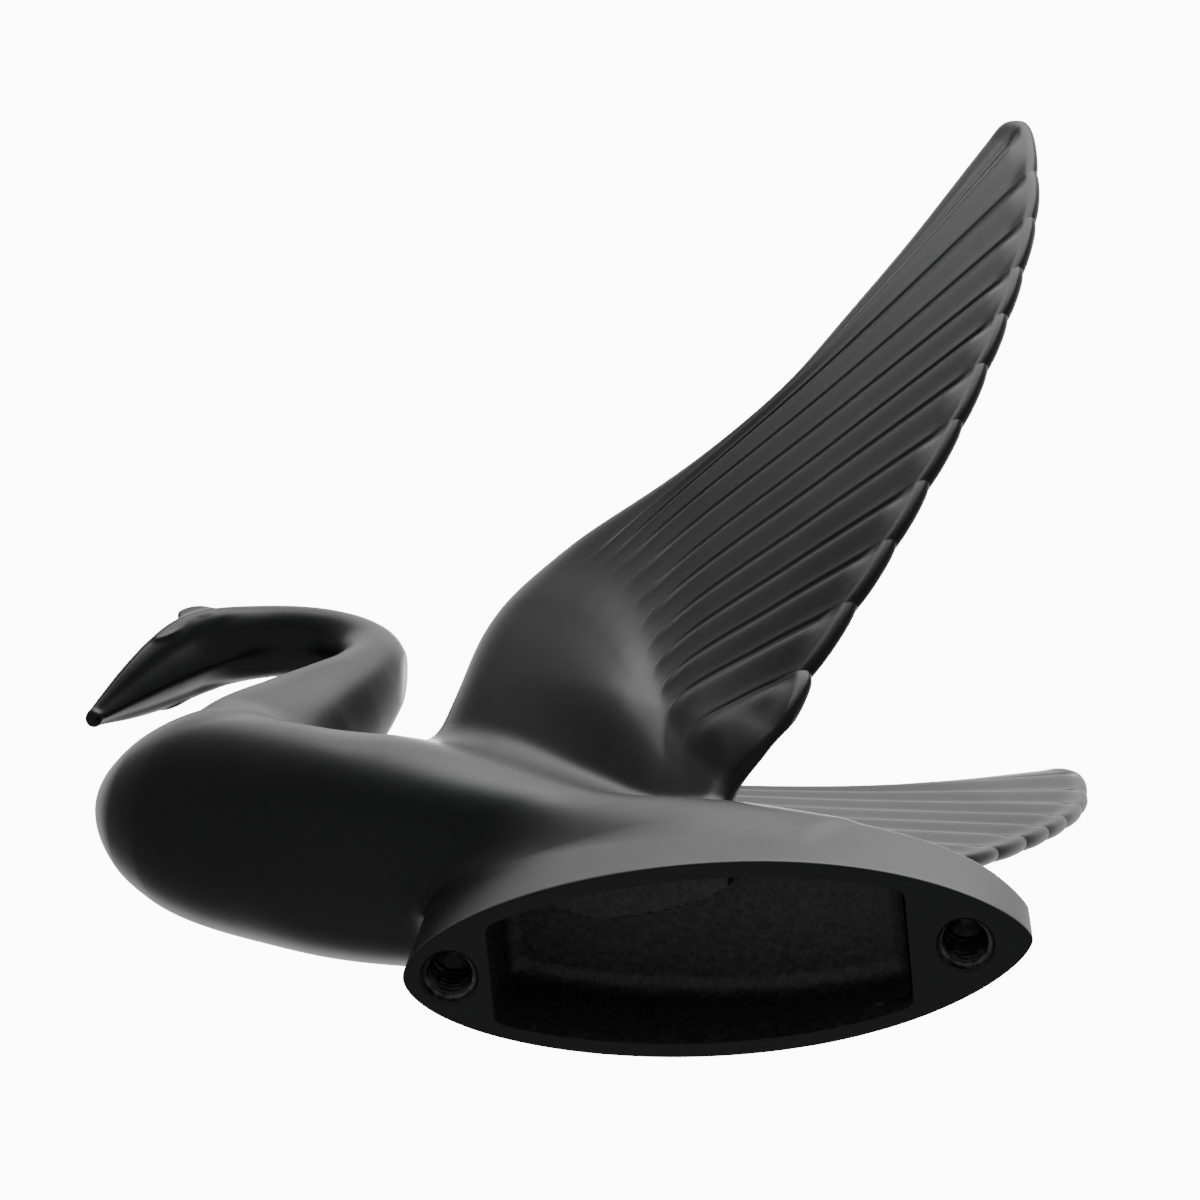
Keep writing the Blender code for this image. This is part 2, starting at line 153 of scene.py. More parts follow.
FEATHERS = len(WING_LINES) - 1
FEATHER_REACH = 0.95         # feather ends stand this far past their lines,
SCALLOP = 0.9                # and their middles up to this much more
WING_PLANE = (-0.4, 0.262, 0.218)     # y = [0] + [1] x + [2] z on the right wing
JOINT_POINT = (-22.0, 66.0)
JOINT_DIRECTION = (47.5, -34.0)
JOINT_REGION = (-56.0, 44.0)          # the body is trimmed to the joint behind this x and above this z
# thickness from root to feather end, for the feathers in front and for the rearmost
THICKNESS = [(0.0, 9.0), (0.2, 9.0), (0.35, 7.0), (0.5, 4.3), (0.75, 2.6), (1.0, 1.7)]
REAR_THICKNESS = [(0.0, 7.0), (0.2, 6.3), (0.35, 5.3), (0.5, 4.2), (0.75, 2.6), (1.0, 1.7)]
RIB_HEIGHT = 0.085           # of a feather's width
RIB_FADE_IN = (0.43, 0.60)   # share of the way from root to feather end
# leading edge against its line, outward, at even steps from root to tip
EDGE_TRIM = [0.0, 0.0, -0.5, 0.8, 1.0, 0.0, -2.0, -1.3, 0.6, 0.1, 0.0]
EDGE_REACH = 2.6             # feathers that the trim fades over
EDGE_COLUMNS = 14            # columns of the wing's mesh that count as its front or rear edge
ROOT_CURL = 3.1              # how far the rear of each root curls in under the wing,
CURL_POINT = (-18.0, 66.0)   # measured from this point
CURL_DIRECTION = (0.656, 0.755)
CURL_BELOW = (-9.0, 14.0)    # from where to where it grows downwards,
CURL_BEHIND = (-36.0, -12.0)          # and rearwards
# across one feather, front to rear: a short rise, a long flat fall, a thin lip, a narrow groove
RIB_PROFILE = [(0.0, 0.0), (0.03, 0.05), (0.10, 0.34), (0.18, 0.70), (0.25, 0.93), (0.30, 1.0), (0.37, 0.96),
               (0.50, 0.78), (0.66, 0.52), (0.80, 0.30), (0.86, 0.22), (0.90, 0.31), (0.94, 0.30),
               (0.97, 0.15), (1.0, 0.0)]

# ---- blends, millimetres ----
BLEND_NECK = 7.0
BLEND_FOOT = 7.0
BLEND_WING_FRONT = 18.0
BLEND_WING_REAR = 4.0
BLEND_WINGS = 4.0
FAR = 40.0                   # stands for any distance that doesn't matter

# ---- grid that the body's surface is drawn on ----
FINE = 0.36                  # steps over the head
COARSE = 0.62
GRID_X = (-109.0, 50.5)
GRID_TOP = 159.0
GRID_SIDE = 20.0
HEAD_BEHIND = -84.0          # the head lies in front of this x,
HEAD_ABOVE = 112.0           # above this z
HEAD_SIDE = 8.4              # and within this distance of the mirror plane
WINGS_X = (-66.0, 22.0)      # the wings' roots lie in here,
WINGS_ABOVE = 26.0           # and above this z

# ---- finishes, linear colours ----
COAT_COLOUR = (0.0045, 0.0046, 0.0049)
COAT_DUSTY = (0.0060, 0.0061, 0.0064)
COAT_ROUGHNESS = 0.35
COAT_SPECULAR = 0.27
FLOOR_LOW = (0.43, 0.43, 0.43)
FLOOR_HIGH = (0.46, 0.46, 0.46)

# ---- floor, light and camera, metres but for the view's aim and distance ----
FLOOR_HEIGHT = -1.35         # the camera looks up from under the ornament, so the floor lies below the camera
FLOOR_SIZE = 9.0
FLOOR_RISE = 0.16            # how sharply its rim curves up
SURROUND = 0.25              # light of the world round the ornament,
# and of the zones behind it as the photo sees it: full within one angle, gone at the next, light added
CEILING_ZONES = [(34.0, 46.0, 1.3), (7.0, 12.0, 10.0)]
KEY_PLACE = (0.21, 0.84, -0.46)       # sideways, up and towards the camera from the ornament's middle
KEY_SIZE = (0.8, 0.6)
KEY_POWER = 6.5
# azimuth and elevation of the view, roll, aim beside the origin, distance
VIEW_AZIMUTH = math.radians(15.122)
VIEW_ELEVATION = math.radians(-69.505)
VIEW_ROLL = math.radians(10.384)
VIEW_AIM = (-15.629, 53.086)
VIEW_DISTANCE = 1174.154
LENS = 240.0


# ---- curves
def catmull(keys, u):
    """Catmull-Rom through keys[..., k, :] at parameters u, one result row per u."""
    keys = np.asarray(keys, float)
    first = 2 * keys[..., :1, :] - keys[..., 1:2, :]
    last = 2 * keys[..., -1:, :] - keys[..., -2:-1, :]
    rows = np.concatenate([first, keys, last], axis=-2)
    spans = keys.shape[-2] - 1
    i = np.clip(np.floor(u).astype(int), 0, spans - 1)
    f = (u - i)[..., None]
    if rows.ndim == 2:
        p0, p1, p2, p3 = (rows[i + k] for k in range(4))
    else:
        p0, p1, p2, p3 = (np.take_along_axis(rows, (i + k)[..., None], axis=-2) for k in range(4))
    return 0.5 * (2 * p1 + (p2 - p0) * f + (2 * p0 - 5 * p1 + 4 * p2 - p3) * f ** 2
                  + (3 * p1 - p0 - 3 * p2 + p3) * f ** 3)


def ramp(value, low, high):
    t = np.clip((value - low) / (high - low), 0.0, 1.0)
    return t * t * (3 - 2 * t)


def smooth_min(a, b, k):
    h = np.clip(0.5 + 0.5 * (b - a) / k, 0.0, 1.0)
    return b + (a - b) * h - k * h * (1 - h)


def smooth_max(a, b, k):
    return -smooth_min(-a, -b, k)


# ---- fields, negative inside the metal
class Tube:
    """Elliptical sections along an axis in the mirror plane."""

    def __init__(self, table, count=420):
        rows = catmull(table, np.linspace(0, len(table) - 1, count))
        self.centre = rows[:, :2]
        self.half = np.maximum(rows[:, 2:], 0.5)
        tangent = np.gradient(self.centre, axis=0)
        self.tangent = tangent / np.linalg.norm(tangent, axis=1)[:, None]
        self.step = np.linalg.norm(np.gradient(self.centre, axis=0), axis=1)

    def locate(self, x, z):
        """Station 0..1, side offset, overrun and half sizes at points of the mirror plane."""
        points = np.stack([x.ravel(), z.ravel()], axis=1)
        best = np.empty(len(points), int)
        for start in range(0, len(points), 16384):
            part = points[start:start + 16384]
            gap = ((part[:, None, :] - self.centre[None]) ** 2).sum(axis=2)
            best[start:start + 16384] = gap.argmin(axis=1)
        offset = points - self.centre[best]
        tangent = self.tangent[best]
        along = (offset * tangent).sum(axis=1)
        side = offset[:, 1] * tangent[:, 0] - offset[:, 0] * tangent[:, 1]
        last = len(self.centre) - 1
        overrun = np.where(best == last, along, np.where(best == 0, -along, -FAR))
        station = np.clip(best + np.clip(along / self.step[best], -0.5, 0.5), 0, last)
        counts = np.arange(last + 1)
        a = np.interp(station, counts, self.half[:, 0])
        b = np.interp(station, counts, self.half[:, 1])
        return [v.reshape(x.shape) for v in (station / last, side, overrun, a, b)]


def tube_field(located, y, keel=None):
    station, side, overrun, a, b = located
    power = 2.0
    if keel:
        under = ramp(station, *keel) * ramp(side / b, -0.45, 0.45)
        power = 2.0 - 0.78 * ramp(station, *keel) * ramp(side / b, 0.0, 0.35)
        a = a * (1.0 + HEAD_FLARE * ramp(station, *keel) - HEAD_TAPER * under)
    g = ((np.abs(y) / a) ** power + (np.abs(side) / b) ** power) ** (1 / power)
    slope = np.sqrt((y / a ** 2) ** 2 + (side / b ** 2) ** 2) / np.maximum(g, 1e-6)
    field = (g - 1) / np.maximum(slope, 0.5 / np.maximum(a, b))
    return smooth_max(field, overrun, 1.6)


def foot_half_width(x):
    u = np.clip((x - BASE_FRONT) / (BASE_REAR - BASE_FRONT), 0.0, 1.0)
    return BASE_HALF_WIDTH * (4 * u * (1 - u)) ** (0.56 + 0.10 * u)


def plan_distance(x, y):
    """Signed distance to the foot's plan outline."""
    run = BASE_FRONT + (BASE_REAR - BASE_FRONT) * 0.5 * (1 - np.cos(np.linspace(0, math.pi, 500)))
    outline = np.stack([run, foot_half_width(run)], axis=1)
    points = np.stack([x.ravel(), np.abs(y).ravel()], axis=1)
    gap = np.empty(len(points))
    for start in range(0, len(points), 8192):
        part = points[start:start + 8192]
        a = outline[None, :-1]
        step = outline[None, 1:] - a
        rel = part[:, None, :] - a
        t = np.clip((rel * step).sum(2) / np.maximum((step ** 2).sum(2), 1e-12), 0, 1)
        gap[start:start + 8192] = np.sqrt(((rel - t[..., None] * step) ** 2).sum(2).min(1))
    inside = points[:, 1] < foot_half_width(points[:, 0])
    return np.where(inside, -gap, gap).reshape(x.shape)


FOOT_CURVE = catmull(FOOT_TOP, np.linspace(0, len(FOOT_TOP) - 1, 200))


def foot_field(x, plan, z):
    wall = np.interp(x, FOOT_CURVE[:, 0], FOOT_CURVE[:, 1])
    rise = np.maximum(np.interp(x, FOOT_CURVE[:, 0], FOOT_CURVE[:, 2]) - wall, 1.5)
    upper = np.maximum(foot_half_width(x) - FOOT_DRAFT * wall, 0.8)
    side = plan + FOOT_DRAFT * np.minimum(z, wall)
    up = np.maximum(z - wall, 0.0)
    out = np.maximum(side + upper, 0.0)
    g = np.sqrt((out / upper) ** 2 + (up / rise) ** 2)
    slope = np.sqrt((out / upper ** 2) ** 2 + (up / rise ** 2) ** 2) / np.maximum(g, 1e-6)
    dome = (g - 1) / np.maximum(slope, 0.5 / np.maximum(upper, rise))
    return np.where(z > wall, np.maximum(dome, up - rise), side)


def head_details(field, x, y, z):
    """Flat eye bosses, nostril lenses and the nail on the bill tip, added to the neck."""
    reach = np.abs(y)
    eye = np.hypot(x - EYE_CENTRE[0], z - EYE_CENTRE[1]) - EYE_RADIUS
    boss = smooth_max(eye, reach - EYE_REACH, 0.5)
    field = smooth_min(field, boss, 0.7)
    run_x, run_z = BILL_DIRECTION
    rel_x = x - NOSTRIL_CENTRE[0]
    rel_z = z - NOSTRIL_CENTRE[1]
    along = rel_x * run_x + rel_z * run_z
    across = rel_z * run_x - rel_x * run_z
    lens = np.hypot(along / NOSTRIL_HALF[0], across / NOSTRIL_HALF[1]) - 1
    lens = np.maximum(lens * NOSTRIL_HALF[1], reach - NOSTRIL_REACH)
    field = smooth_min(field, lens, 0.5)
    nail = np.sqrt((x - BILL_TIP[0]) ** 2 + y ** 2 + (z - BILL_TIP[2]) ** 2) - BILL_TIP_RADIUS
    return smooth_min(field, nail, 0.35)


TUBES = {"hull": Tube(HULL), "neck": Tube(NECK)}


def solid_field(x, y, z):
    """Hull, neck and foot at free points."""
    hull = tube_field(TUBES["hull"].locate(x, z), y)
    neck = tube_field(TUBES["neck"].locate(x, z), y, (KEEL_START, KEEL_FULL))
    body = smooth_min(hull, neck, BLEND_NECK)
    return smooth_min(body, foot_field(x, plan_distance(x, y), z), BLEND_FOOT)


# ---- right wing
WING_NORMAL = Vector((-WING_PLANE[1], 1.0, -WING_PLANE[2])).normalized()
JOINT_RUN = Vector((JOINT_DIRECTION[0],
                    WING_PLANE[1] * JOINT_DIRECTION[0] + WING_PLANE[2] * JOINT_DIRECTION[1],
                    JOINT_DIRECTION[1])).normalized()
JOINT_UP = WING_NORMAL.cross(JOINT_RUN)
if JOINT_UP.z < 0:
    JOINT_UP = -JOINT_UP


def on_wing(xz):
    """Mid surface of the right wing: flat, but for the rear of the root, which curls in towards the back."""
    x = xz[..., 0]
    z = xz[..., 1]
    below = CURL_DIRECTION[0] * (CURL_POINT[0] - x) + CURL_DIRECTION[1] * (CURL_POINT[1] - z)
    curl = ROOT_CURL * ramp(below, *CURL_BELOW) * ramp(x, *CURL_BEHIND)
    return np.stack([x, WING_PLANE[0] + WING_PLANE[1] * x + WING_PLANE[2] * z - curl, z], axis=-1)


# middle of the joint, on the wing's plane before it curls
JOINT = np.array([JOINT_POINT[0],
                  WING_PLANE[0] + WING_PLANE[1] * JOINT_POINT[0] + WING_PLANE[2] * JOINT_POINT[1],
                  JOINT_POINT[1]])


def above_joint(points, sign=1.0):
    mirror = np.array([1.0, sign, 1.0])
    return ((points * mirror) - JOINT) @ np.array(JOINT_UP)


def rounding(distance, depth, power=2.0):
    """Half thickness share near an edge, a quarter of a superellipse."""
    u = np.clip(distance / depth, 0.0, 1.0)
    return np.maximum(1 - (1 - u) ** power, 0.0) ** (1 / power)


def wing_columns(fine):
    """Positions across the wing, counted in feathers, closer together at grooves and edges."""
    if not fine:
        inner = np.linspace(1, FEATHERS - 1, 44)
        edge = np.linspace(0, 1, 18) ** 1.7
        return np.concatenate([edge, inner[1:-1], FEATHERS - edge[::-1]])
    phases = np.array([0.0, 0.015, 0.03, 0.055, 0.09, 0.14, 0.20, 0.28, 0.38, 0.50, 0.62, 0.73,
                       0.82, 0.885, 0.93, 0.955, 0.975, 0.99])
    front = np.concatenate([np.linspace(0, 0.86, 20) ** 1.7, phases[phases > 0.8]])
    rear = np.concatenate([phases[phases < 0.4], 1 - np.linspace(0.74, 0, 20) ** 1.7])
    middle = [f + phases for f in range(1, FEATHERS - 1)]
    return np.concatenate([front, *middle, FEATHERS - 1 + rear])


def wing_grid(fine, rows):
    """Outer and inner skins of the right wing as (column, row, xyz). The fine one starts at the joint."""
    position = wing_columns(fine)
    table = np.array(WING_LINES)
    i = np.clip(position.astype(int), 0, FEATHERS - 1)
    f = position - i
    keys = table[i] * (1 - f)[:, None, None] + table[i + 1] * f[:, None, None]
    spans = table.shape[1] - 1
    start = np.zeros(len(position))
    if fine:
        scan = np.linspace(0, 0.75, 301)
        u = np.broadcast_to(scan * spans, (len(position), len(scan)))
        heights = above_joint(on_wing(catmull(keys, u)))
        for c, height in enumerate(heights):
            k = np.argmax(height > 0)
            part = height[k - 1] / (height[k - 1] - height[k])
            start[c] = scan[k - 1] + (scan[k] - scan[k - 1]) * part
    v = np.linspace(0, 1, rows - 1) if fine else np.linspace(0, 1, rows)
    w = 1 - (1 - v) ** 1.4
    if fine:
        w = np.concatenate([[0.0, 0.0012], w[1:]])
    s = start[:, None] + (1 - start[:, None]) * w[None, :]
    flat = catmull(keys, s * spans)
    ahead = catmull(keys, np.full((len(position), 1), spans - 0.02))[:, 0]
    heading = flat[:, -1] - ahead
    heading /= np.linalg.norm(heading, axis=1)[:, None]
    bulge = FEATHER_REACH + SCALLOP * (1 - np.abs(2 * f - 1) ** 2.4)
    flat = flat + heading[:, None, :] * (bulge[:, None] * s ** 14)[..., None]
    edge_key = np.array(EDGE_TRIM)[:, None]
    trim = catmull(edge_key, s.ravel() * (len(EDGE_TRIM) - 1))[:, 0].reshape(s.shape)
    trim = trim * (np.clip(1 - position / EDGE_REACH, 0, 1) ** 2)[:, None]
    travel = np.gradient(flat, axis=1)
    travel /= np.maximum(np.linalg.norm(travel, axis=2), 1e-9)[..., None]
    flat = flat + np.stack([-travel[..., 1], travel[..., 0]], axis=-1) * trim[..., None]
    middle = on_wing(flat)
    across = np.linalg.norm(np.diff(middle, axis=0), axis=2)
    from_front = np.concatenate([np.zeros((1, rows)), np.cumsum(across, axis=0)])
    from_rear = from_front[-1:] - from_front
    along = np.linalg.norm(np.diff(middle, axis=1), axis=2)
    to_end = np.cumsum(along[:, ::-1], axis=1)[:, ::-1]
    from_end = np.concatenate([to_end, np.zeros((len(position), 1))], axis=1)
    width = from_front[-1:]
    steps = np.linspace(0, len(THICKNESS) - 1, 200)
    rearward = ramp(position, 6.0, 11.5)[:, None]
    half = np.zeros(s.shape)
    for thickness, share in ((THICKNESS, 1 - rearward), (REAR_THICKNESS, rearward)):
        curve = catmull(thickness, steps)
        half += 0.5 * share * np.interp(s, curve[:, 0], curve[:, 1])
    half = half * rounding(from_front, np.minimum(9.0, 0.22 * width) * (1 - 0.35 * s), 2.3)
    half = half * rounding(from_rear, np.minimum(5.0, 0.16 * width), 2.2) * rounding(from_end, 2.4, 2.1)
    profile = np.interp(f, [r[0] for r in RIB_PROFILE], [r[1] for r in RIB_PROFILE])
    profile = np.where(position >= FEATHERS, 0.0, profile)
    first = np.where(position < 1, 0.3 * (1 - ramp(f, 0.70, 1.0)), profile)
    last = np.where(position > FEATHERS - 1, np.maximum(first, 0.3 * (1 - ramp(f, 0.2, 0.6))), first)
    fade_in = ramp(s, *RIB_FADE_IN)
    fade_out = ramp(from_end, 1.5, 7.5)
    rib = RIB_HEIGHT * width / FEATHERS * (last[:, None] * fade_out + 0.5 * (1 - fade_out)) * fade_in
    rib = rib * rounding(from_front, 3.0) * rounding(from_rear, 2.5) * rounding(from_end, 2.8)
    offset = np.array(WING_NORMAL) * (half + rib)[..., None]
    return middle + offset, middle - offset


def skin_faces(columns, rows, shift):
    faces = []
    for c in range(columns - 1):
        for r in range(rows - 1):
            a = c * rows + r
            b = a + rows
            faces.append((a, b, b + 1, a + 1))
            faces.append((shift + a, shift + a + 1, shift + b + 1, shift + b))
    for c in range(columns - 1):
        a = c * rows
        b = a + rows
        faces.append((a, shift + a, shift + b, b))
    return faces


def wing_tree():
    """Search tree of the smooth wing, and its outline in the mirror plane's x and z."""
    outer, inner = wing_grid(False, 80)
    columns, rows = outer.shape[:2]
    middle = (outer + inner)[..., ::2] / 2
    outline = np.concatenate([middle[:, 0], middle[-1, 1:], middle[-2::-1, -1], middle[0, -2:0:-1]])
    points = np.concatenate([outer.reshape(-1, 3), inner.reshape(-1, 3)])
    work = bmesh.new()
    vertices = [work.verts.new(p) for p in points]
    for face in skin_faces(columns, rows, columns * rows):
        work.faces.new([vertices[i] for i in face])
    bmesh.ops.remove_doubles(work, verts=work.verts, dist=1e-3)
    bmesh.ops.recalc_face_normals(work, faces=work.faces)
    tree = BVHTree.FromBMesh(work)
    work.free()
    return tree, outline


WING_TREE, SIDE_OUTLINE = wing_tree()


def within(outline, points):
    """Which points of a plane lie inside a closed outline there."""
    hit = np.zeros(len(points), bool)
    u, v = points.T
    for (u0, v0), (u1, v1) in zip(outline, np.roll(outline, -1, axis=0)):
        if v0 != v1:
            hit ^= ((v0 > v) != (v1 > v)) & (u < u0 + (v - v0) * (u1 - u0) / (v1 - v0))
    return hit


def wing_distance(points):
    """Signed distance from free points to the smooth right wing."""
    nearest = np.empty((len(points), 3))
    gap = np.empty(len(points))
    find = WING_TREE.find_nearest
    for k, p in enumerate(points):
        place, _, _, gap[k] = find(p)
        nearest[k] = place
    lift = np.abs((points - on_wing(points[:, ::2])) @ np.array(WING_NORMAL))
    surface = np.abs((nearest - on_wing(nearest[:, ::2])) @ np.array(WING_NORMAL))
    inside = within(SIDE_OUTLINE, points[:, ::2]) & (lift <= surface + 1e-6)
    return np.where(inside, -gap, gap)


def wing_blend(x):
    return np.interp(x, [-50.0, -10.0], [BLEND_WING_FRONT, BLEND_WING_REAR])


def whole_field(points):
    """Everything at free points of the right half."""
    x, y, z = points.T
    own = wing_distance(points)
    other = wing_distance(points * np.array([1.0, -1.0, 1.0]))
    wings = smooth_min(own, other, BLEND_WINGS)
    return smooth_min(solid_field(x, y, z), wings, wing_blend(x))


# ---- body surface
def grid_axes():
    x = np.concatenate([np.arange(GRID_X[0], HEAD_BEHIND, FINE), np.arange(HEAD_BEHIND, GRID_X[1], COARSE)])
    z = np.concatenate([np.arange(FOOT_CUT - 1.5, HEAD_ABOVE, COARSE), np.arange(HEAD_ABOVE, GRID_TOP, FINE)])
    y = np.concatenate([np.arange(FINE / 2, HEAD_SIDE, FINE), np.arange(HEAD_SIDE + 0.3, GRID_SIDE, COARSE)])
    return x, y, z


def spread(located):
    """What a tube says about the mirror plane, ready to meet every y."""
    return [values[:, None, :] for values in located]


def grid_field(x, y, z):
    """The whole field on the grid, both halves, with the full y axis."""
    plane_x, plane_z = np.meshgrid(x, z, indexing="ij")
    cube_y = y[None, :, None]
    hull = tube_field(spread(TUBES["hull"].locate(plane_x, plane_z)), cube_y)
    neck = tube_field(spread(TUBES["neck"].locate(plane_x, plane_z)), cube_y, (KEEL_START, KEEL_FULL))
    head = x < HEAD_BEHIND
    neck[head] = head_details(neck[head], x[head][:, None, None], cube_y, z[None, None, :])
    body = smooth_min(hull, neck, BLEND_NECK)
    plan_x, plan_y = np.meshgrid(x, y, indexing="ij")
    plan = plan_distance(plan_x, plan_y)
    body = smooth_min(body, foot_field(x[:, None, None], plan[:, :, None], z[None, None, :]), BLEND_FOOT)
    both_y = np.concatenate([-y[::-1], y])
    body = np.concatenate([body[:, ::-1], body], axis=1)

    points = np.stack(np.meshgrid(x, both_y, z, indexing="ij"), axis=-1)
    plane = (points - JOINT) @ np.array(WING_NORMAL)
    near = (body > -2.5) & (body < 16.0) & (np.abs(plane) < 4.5 + BLEND_WING_FRONT)
    near &= (above_joint(points) < 4.0) & (points[..., 2] > WINGS_ABOVE)
    near &= (points[..., 0] > WINGS_X[0]) & (points[..., 0] < WINGS_X[1])
    own = np.full(body.shape, FAR)
    own[near] = wing_distance(points[near])
    wings = smooth_min(own, own[:, ::-1], BLEND_WINGS)
    return smooth_min(body, wings, wing_blend(x)[:, None, None]), both_y


def surface_net(field, axes):
    """Quads over the zero surface of a field on a box grid."""
    inside = field < 0
    cells = np.array(field.shape) - 1
    keys = []
    spots = []
    quads = []
    for axis in range(3):
        low = tuple(slice(0, -1) if d == axis else slice(None) for d in range(3))
        high = tuple(slice(1, None) if d == axis else slice(None) for d in range(3))
        index = np.argwhere(inside[low] != inside[high])
        step = np.eye(3, dtype=int)[axis]
        f0 = field[tuple(index.T)]
        f1 = field[tuple((index + step).T)]
        spot = np.stack([axes[d][index[:, d]] for d in range(3)], axis=1)
        run = axes[axis][index[:, axis] + 1] - axes[axis][index[:, axis]]
        spot[:, axis] += run * f0 / (f0 - f1)
        u = np.eye(3, dtype=int)[(axis + 1) % 3]
        v = np.eye(3, dtype=int)[(axis + 2) % 3]
        around = np.stack([index - u - v, index - v, index, index - u], axis=1)
        valid = ((around >= 0) & (around < cells)).all(axis=(1, 2))
        around = around[valid]
        spot = spot[valid]
        key = np.ravel_multi_index(tuple(np.moveaxis(around, -1, 0)), tuple(cells))
        turned = np.where((f0[valid] < 0)[:, None], key, key[:, ::-1])
        quads.append(turned)
        keys.append(key.ravel())
        spots.append(np.repeat(spot, 4, axis=0))
    quads = np.concatenate(quads)
    keys = np.concatenate(keys)
    spots = np.concatenate(spots)
    names, place = np.unique(keys, return_inverse=True)
    count = np.bincount(place)
    points = np.stack([np.bincount(place, weights=spots[:, d]) / count for d in range(3)], axis=1)
    return points, np.searchsorted(names, quads)


def sample(field, axes, points):
    index = []
    part = []
    for d in range(3):
        i = np.clip(np.searchsorted(axes[d], points[:, d]) - 1, 0, len(axes[d]) - 2)
        index.append(i)
        part.append(np.clip((points[:, d] - axes[d][i]) / (axes[d][i + 1] - axes[d][i]), 0, 1))
    total = 0.0
    for dx in (0, 1):
        for dy in (0, 1):
            for dz in (0, 1):
                weight = (part[0] if dx else 1 - part[0]) * (part[1] if dy else 1 - part[1])
                weight = weight * (part[2] if dz else 1 - part[2])
                total = total + weight * field[index[0] + dx, index[1] + dy, index[2] + dz]
    return total


def gradient(field, axes, points, reach):
    sides = []
    for d in range(3):
        step = np.eye(3)[d] * reach
        sides.append(sample(field, axes, points + step) - sample(field, axes, points - step))
    return np.stack(sides, axis=1) / (2 * reach)


def body_surface():
    """Blended skin of the casting above the lower foot: vertices, faces, outward normals, lowest loop."""
    x, y, z = grid_axes()
    field, both_y = grid_field(x, y, z)
    axes = (x, both_y, z)
    points, quads = surface_net(field, axes)
    for _ in range(2):
        slope = gradient(field, axes, points, 0.25)
        size = np.maximum((slope ** 2).sum(axis=1), 0.2)
        move = slope * (sample(field, axes, points) / size)[:, None]
        points -= np.clip(move, -0.3, 0.3)

    work = bmesh.new()
    vertices = [work.verts.new(p) for p in points]
    for quad in quads:
        work.faces.new([vertices[i] for i in quad])
    everything = work.verts[:] + work.edges[:] + work.faces[:]
    bmesh.ops.bisect_plane(work, geom=everything, plane_co=(0, 0, FOOT_CUT), plane_no=(0, 0, 1),
                           clear_inner=True)
    for sign in (1.0, -1.0):
        faces = []
        for face in work.faces:
            c = face.calc_center_median()
            if c.y * sign > 0 and c.x > JOINT_REGION[0] and c.z > JOINT_REGION[1]:
                faces.append(face)
        edges = {e for face in faces for e in face.edges}
        verts = {v for face in faces for v in face.verts}
        normal = Vector((JOINT_UP.x, JOINT_UP.y * sign, JOINT_UP.z))
        centre = Vector((JOINT[0], JOINT[1] * sign, JOINT[2]))
        bmesh.ops.bisect_plane(work, geom=list(verts) + list(edges) + faces, plane_co=centre, plane_no=normal,
                               clear_outer=True)
    bmesh.ops.remove_doubles(work, verts=work.verts, dist=1e-3)
    rim = [e for e in work.edges if e.is_boundary]
    joint_rim = [e for e in rim if e.verts[0].co.z > 20.0]
    bmesh.ops.holes_fill(work, edges=joint_rim, sides=0)
    work.verts.index_update()
    loop = ordered_loop([e for e in work.edges if e.is_boundary])
    points = np.array([v.co for v in work.verts])
    faces = [tuple(v.index for v in face.verts) for face in work.faces]
    work.free()
    slope = gradient(field, axes, points, 0.45)
    normals = slope / np.maximum(np.linalg.norm(slope, axis=1), 1e-6)[:, None]
    return points, faces, normals, loop


def ordered_loop(edges):
    """Vertex indices round one closed boundary, anticlockwise from above."""
    links = {}
    for e in edges:
        a, b = e.verts
        links.setdefault(a, []).append(b)
        links.setdefault(b, []).append(a)
    first = max(links, key=lambda v: v.co.x)
    loop = [first]
    before = None
    here = first
    while True:
        options = [v for v in links[here] if v is not before]
        before, here = here, options[0]
        if here is first:
            break
        loop.append(here)
    area = sum(a.co.x * b.co.y - b.co.x * a.co.y for a, b in zip(loop, loop[1:] + loop[:1]))
    if area < 0:
        loop.reverse()
    return [v.index for v in loop]


# ---- underside
class Builder:
    """Vertices and faces being gathered, with a material number for each face."""

    def __init__(self, points, faces):
        self.points = [tuple(p) for p in points]
        self.faces = list(faces)
        self.kinds = [0] * len(faces)

    def ring(self, points):
        start = len(self.points)
        self.points += [tuple(p) for p in points]
        return list(range(start, len(self.points)))

    def face(self, corners, kind):
        self.faces.append(tuple(corners))
        self.kinds.append(kind)

    def band(self, low, high, kind):
        n = len(low)
        for i in range(n):
            j = (i + 1) % n
            self.face((low[i], low[j], high[j], high[i]), kind)


COAT, POCKET, THREAD = 0, 1, 2       # material numbers of the body's faces


def pocket_roof(x, y):
    """Roof height: it falls to the rear, and the left front has a lower ledge with an arched edge."""
    f = np.clip((x - POCKET_FRONT) / (POCKET_REAR - POCKET_FRONT), 0, 1)
    roof = POCKET_DEPTH + POCKET_SWELL * np.sin(math.pi * f) - POCKET_FALL * f
    edge = np.interp(x, [row[0] for row in LEDGE_EDGE], [row[1] for row in LEDGE_EDGE])
    return roof - LEDGE_DROP * ramp(-y - edge, 0.0, LEDGE_SLOPE)


def pocket_columns(inset):
    """Front to rear stations of the pocket and its half width there, with rounded corners."""
    front = POCKET_FRONT + inset
    rear = POCKET_REAR - inset
    turn = np.linspace(0, math.pi / 2, 6)
    corner_x = POCKET_CORNER * (1 - np.cos(turn))
    corner_y = POCKET_CORNER * (1 - np.sin(turn))
    middle = np.linspace(front + POCKET_CORNER, rear - POCKET_CORNER, POCKET_SIDE)[1:-1]
    x = np.concatenate([front + corner_x, middle, rear - corner_x[::-1]])
    pull = np.concatenate([corner_y, np.zeros(len(middle)), corner_y[::-1]])
    return x, foot_half_width(x) - POCKET_RIM - inset - pull


